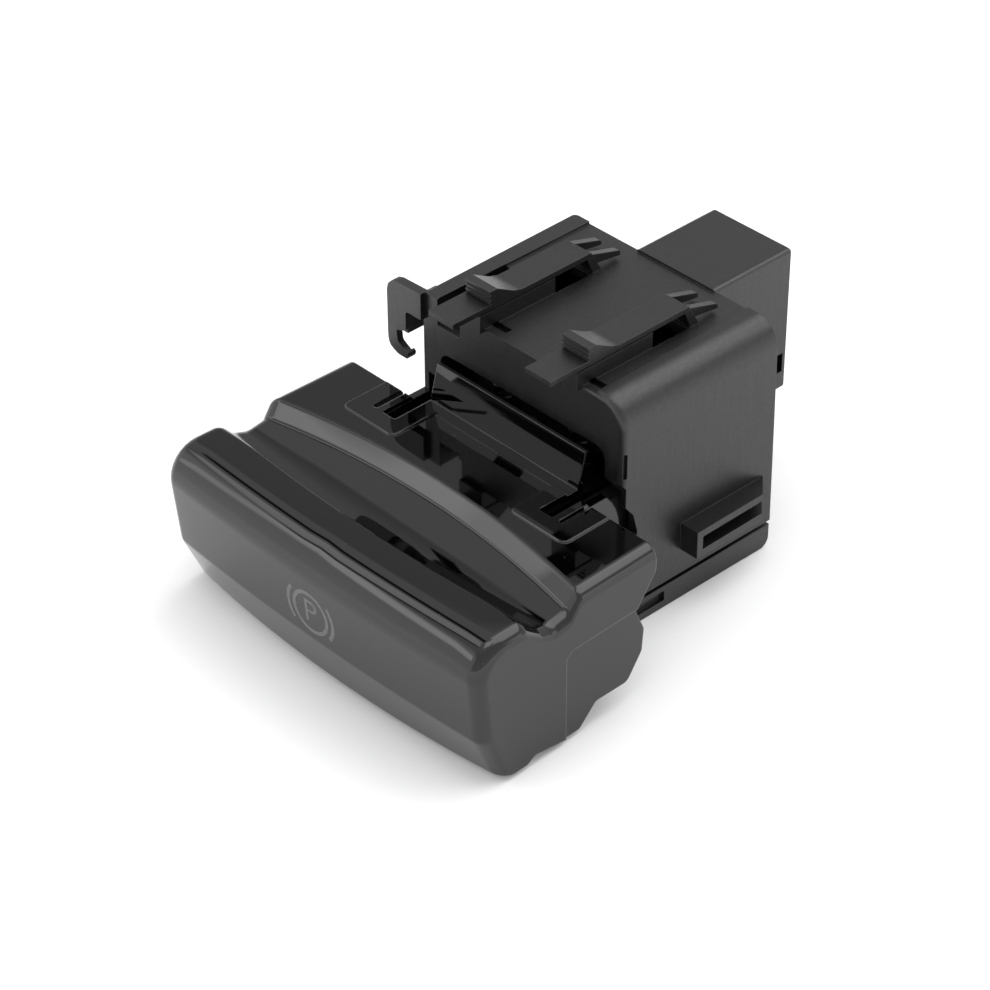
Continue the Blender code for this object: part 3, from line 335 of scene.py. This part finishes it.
def make_looks():
    """Every material of the switch, by the name of its finish."""
    matt, inner = (0.0035, 0.0035, 0.0037), (0.004, 0.004, 0.0045)
    return {
        "gloss_black": gloss_black(),
        "matt_black": moulded_black("matt_black", matt, 0.38, grain=0.22 * MM),
        "inner_black": moulded_black("inner_black", inner, 0.5, grain=0.3 * MM),
        "clear_guide": clear_guide(),
        "steel": metal("steel", (0.62, 0.62, 0.64), 0.28, drawn=(0.05, 1, 1)),
        "black_wire": metal("black_wire", (0.045, 0.045, 0.05), 0.35, drawn=(1, 1, 1)),
        "tinned_brass": metal("tinned_brass", (0.80, 0.77, 0.68), 0.24, drawn=(1, 0.05, 1)),
        "board_green": board_green(),
        "switch_ivory": light_plastic("switch_ivory", (0.62, 0.58, 0.48), 0.42),
        "lamp_white": light_plastic("lamp_white", (0.90, 0.88, 0.80), 0.18),
        "print_grey": print_grey(),
    }


def dress():
    """Gives every CAD node its finish."""
    for part in frame["record"]["subparts"]:
        node = frame["nodes"][part["node"]]
        if not node.material_slots:
            node.data.materials.append(None)
        for slot in node.material_slots:
            slot.material = looks[part["material_slot"]]


# Pieces

def new_object(name, bm, finish):
    """Makes an object at the origin from a mesh that is being edited."""
    mesh = bpy.data.meshes.new(name)
    bm.to_mesh(mesh)
    bm.free()
    made = bpy.data.objects.new(name, mesh)
    bpy.context.scene.collection.objects.link(made)
    mesh.materials.append(finish)
    return made


def in_lip(place):
    """Whether a place is on the raised lip and the face, whose rounds keep all their facets."""
    return place.y < LIP_BACK and abs(place.x) < LIP_HALF_W


def smooth_twin(node, body, look, crease, keeps=lambda place: False):
    """A welded copy of a CAD node, with smooth rounds and crisp edges, that stands in for it."""
    bm = bmesh.new()
    bm.from_mesh(frame["nodes"][node].data)
    bmesh.ops.remove_doubles(bm, verts=bm.verts, dist=WELD)
    bmesh.ops.recalc_face_normals(bm, faces=bm.faces)
    verts = [vert for vert in bm.verts if not keeps(vert.co)]
    edges = [edge for edge in bm.edges if not any(keeps(vert.co) for vert in edge.verts)]
    bmesh.ops.dissolve_limit(bm, angle_limit=FLAT, verts=verts, edges=edges, delimit=set())
    for face in bm.faces:
        face.smooth = True
    for edge in bm.edges:
        edge.smooth = edge.is_manifold and edge.calc_face_angle() < math.radians(crease)
    made = new_object(f"{node}_smooth", bm, looks[look])
    even = made.modifiers.new("even_normals", "WEIGHTED_NORMAL")
    even.keep_sharp = True
    even.weight = NORMAL_WEIGHT
    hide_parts(node)
    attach(made, body)
    return made


def build_springs():
    """Copies stand in for the return springs."""
    for row, shelf in (("upper", max), ("lower", min)):
        for side in ("left", "right"):
            node = f"{row}_spring_{side}"
            spring = smooth_twin(node, "housing", "black_wire", SPRING_CREASE)
            seat = shelf(vert.co.z for vert in spring.data.vertices)
            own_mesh(spring)


def on_ring(radius, angle):
    """A place at this angle in degrees on a circle around the symbol's middle."""
    turn = math.radians(angle)
    return (SYMBOL_X + radius * math.cos(turn), 0, SYMBOL_Z + radius * math.sin(turn))


def ring(radius, middle, half_angle, steps):
    """A flat line of the symbol along a circle, to both sides of an angle in degrees."""
    bm = bmesh.new()
    start = middle - half_angle
    outer = bm.verts.new(on_ring(radius + LINE_W / 2, start))
    inner = bm.verts.new(on_ring(radius - LINE_W / 2, start))
    edge = bm.edges.new((outer, inner))
    bmesh.ops.spin(
        bm, geom=[outer, inner, edge], cent=(SYMBOL_X, 0, SYMBOL_Z), axis=(0, -1, 0),
        angle=math.radians(2 * half_angle), steps=steps, use_merge=half_angle == 180,
    )
    return bm


def letter():
    """The letter as a mesh of its own, standing in the symbol's plane."""
    curve = bpy.data.curves.new("letter_text", "FONT")
    curve.body = "P"
    curve.size = LETTER_H / LETTER_SHARE
    curve.align_x = "CENTER"
    curve.align_y = "CENTER"
    text = bpy.data.objects.new("letter_text", curve)
    bpy.context.scene.collection.objects.link(text)
    bpy.context.view_layer.update()
    flat = text.evaluated_get(bpy.context.evaluated_depsgraph_get())
    bm = bmesh.new()
    bm.from_mesh(bpy.data.meshes.new_from_object(flat))
    bpy.data.objects.remove(text, do_unlink=True)
    upright = Matrix.Rotation(math.radians(90), 4, "X")
    stand = Matrix.Translation((SYMBOL_X, 0, SYMBOL_Z)) @ upright
    bmesh.ops.transform(bm, matrix=stand, verts=bm.verts)
    bmesh.ops.subdivide_edges(bm, edges=bm.edges, cuts=1)
    return bm


def lay_on(bm, surface):
    """Moves a flat form back onto the face, a hair in front of it."""
    for vert in bm.verts:
        start = Vector((vert.co.x, PRINT_START, vert.co.z))
        place, *_ = surface.ray_cast(start, Vector((0, 1, 0)))
        vert.co.y = place.y - PRINT_LIFT


def build_symbol(paddle):
    """The usual parking brake sign: a letter in a ring between two brackets."""
    surface = BVHTree.FromObject(paddle, bpy.context.evaluated_depsgraph_get())
    forms = {
        "symbol_ring": ring(RING_R, 180, 180, RING_STEPS),
        "symbol_bracket_right": ring(BRACKET_R, 0, BRACKET_HALF_ANGLE, BRACKET_STEPS),
        "symbol_bracket_left": ring(BRACKET_R, 180, BRACKET_HALF_ANGLE, BRACKET_STEPS),
        "symbol_letter": letter(),
    }
    for name, bm in forms.items():
        lay_on(bm, surface)
        made = new_object(name, bm, looks["print_grey"])
        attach(made, "paddle")


# Studio

def build_floor():
    """A wide plain floor under the switch."""
    bm = bmesh.new()
    bmesh.ops.create_grid(bm, x_segments=1, y_segments=1, size=FLOOR_HALF)
    floor = new_object("studio_floor", bm, floor_white())


def look_way(azimuth, height):
    """The unit vector from the switch towards a place in the studio."""
    turn, rise = math.radians(azimuth), math.radians(height)
    level = math.cos(rise)
    return Vector((math.sin(turn) * level, math.cos(turn) * level, math.sin(rise)))


def panel_mask(tree, way, azimuth, height, half_wide, half_high, turn, soft):
    """1 in a rectangular panel of the studio, 0 outside it, with soft edges."""
    middle = look_way(azimuth, height)
    side = middle.cross(Vector((0, 0, 1))).normalized()
    side = Matrix.Rotation(math.radians(-turn), 3, middle) @ side
    depth = along(tree, way, middle)
    mask = span(tree, depth, 0, 1, *PANEL_REACH)
    for axis, half in ((side, half_wide), (side.cross(middle), half_high)):
        offset = combine(tree, "DIVIDE", along(tree, way, axis), depth)
        inner, outer = (math.tan(math.radians(half + part)) for part in (-soft / 2, soft / 2))
        edge = span(tree, combine(tree, "ABSOLUTE", offset), 1, 0, inner, outer)
        mask = combine(tree, "MULTIPLY", mask, edge)
    return mask


def build_sky():
    """A pale studio with soft panels, some bright and some dark."""
    world = bpy.data.worlds.new("studio")
    bpy.context.scene.world = world
    world.use_nodes = True
    tree = world.node_tree
    way = tree.nodes.new("ShaderNodeTexCoord").outputs["Generated"]
    ramp = tree.nodes.new("ShaderNodeValToRGB")
    stops = ramp.color_ramp.elements
    for stop, (_, shade) in zip(stops, (SKY_BANDS[0], SKY_BANDS[-1])):
        stop.color = (shade, shade, shade, 1)
    for height, shade in SKY_BANDS[1:-1]:
        stops.new(math.sin(math.radians(height))).color = (shade, shade, shade, 1)
    tree.links.new(along(tree, way, (0, 0, 1)), ramp.inputs["Fac"])
    light = ramp.outputs["Color"]
    for *place, shade in PANELS:
        mix = tree.nodes.new("ShaderNodeMix")
        tree.links.new(panel_mask(tree, way, *place), mix.inputs["Factor"])
        tree.links.new(light, mix.inputs["A"])
        mix.inputs["B"].default_value = shade
        light = mix.outputs["Result"]
    backdrop = tree.nodes["Background"]
    backdrop.inputs["Color"].default_value = (1, 1, 1, 1)
    tree.links.new(light, backdrop.inputs["Strength"])


def aimed(place, aim):
    """The turn that points a lamp or camera from its place at its aim."""
    return (aim - place).to_track_quat("-Z", "Y")


def build_lamp():
    """A softbox overhead that looks as bright in a mirror as its radiance says."""
    lamp = bpy.data.lights.new("overhead_softbox", "AREA")
    lamp.shape = "RECTANGLE"
    lamp.size = LAMP_SIDE
    lamp.size_y = LAMP_SIDE
    lamp.energy = LAMP_RADIANCE * math.pi * LAMP_SIDE * LAMP_SIDE
    made = bpy.data.objects.new("overhead_softbox", lamp)
    made.location = LAMP_PLACE
    made.rotation_euler = aimed(LAMP_PLACE, LAMP_AIM).to_euler()
    bpy.context.scene.collection.objects.link(made)


def build_camera():
    """The camera that took the photo."""
    camera = bpy.data.cameras.new("camera")
    camera.lens = CAMERA_LENS
    camera.sensor_width = CAMERA_SENSOR
    camera.clip_start = CAMERA_CLIP
    made = bpy.data.objects.new("camera", camera)
    turn = aimed(CAMERA_PLACE, CAMERA_AIM).to_matrix().to_4x4()
    roll = Matrix.Rotation(CAMERA_ROLL, 4, "Z")
    made.matrix_world = Matrix.Translation(CAMERA_PLACE) @ turn @ roll
    bpy.context.scene.collection.objects.link(made)
    bpy.context.scene.camera = made


bpy.context.scene.view_settings.view_transform = "Standard"
build_camera()
looks = make_looks()
dress()
paddle_twin = smooth_twin("paddle_shell", "paddle", "gloss_black", PADDLE_CREASE, in_lip)
smooth_twin("housing_shell", "housing", "matt_black", HOUSING_CREASE)
smooth_twin("base_cover", "housing", "matt_black", HOUSING_CREASE)
build_springs()
build_symbol(paddle_twin)
build_floor()
build_sky()
build_lamp()
